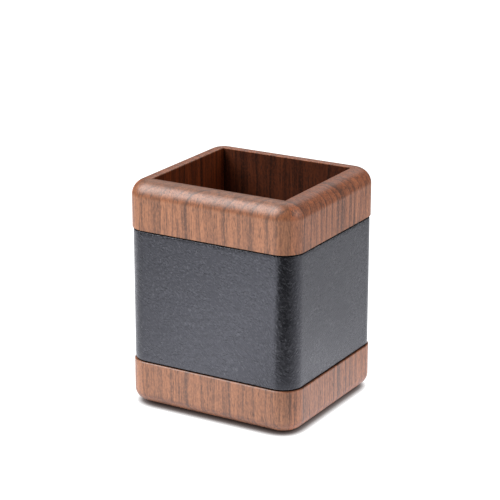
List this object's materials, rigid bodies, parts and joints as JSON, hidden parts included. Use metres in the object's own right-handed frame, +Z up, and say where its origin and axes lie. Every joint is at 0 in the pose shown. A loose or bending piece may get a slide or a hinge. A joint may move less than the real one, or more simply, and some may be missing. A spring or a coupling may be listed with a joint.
{
  "type": "pen holder cup",
  "caption": "Upright rectangular desk cup of mitred walnut boards with rounded corners and rims, a leather strip let in round its middle, a square-cornered open well and small feet.",
  "frame": {"origin": "on the desk surface, under the centre of the cup's plan", "axes": "+Z up through the mouth, -Y out of the wide front face, +X towards the right side"},
  "size_m": [0.0826, 0.076, 0.101],
  "materials": {
    "walnut": "satin oiled, grain upright",
    "floor_wood": "matt, grain across the width",
    "black_leather": "satin, fine pebbled grain",
    "rubber": "matt"
  },
  "bodies": {
    "root": {"wall_front": "walnut", "wall_right": "walnut", "wall_back": "walnut", "wall_left": "walnut", "floor_panel": "floor_wood", "leather_wrap": "black_leather", "foot_front_left": "rubber", "foot_front_right": "rubber", "foot_back_right": "rubber", "foot_back_left": "rubber"}
  },
  "joints": []
}
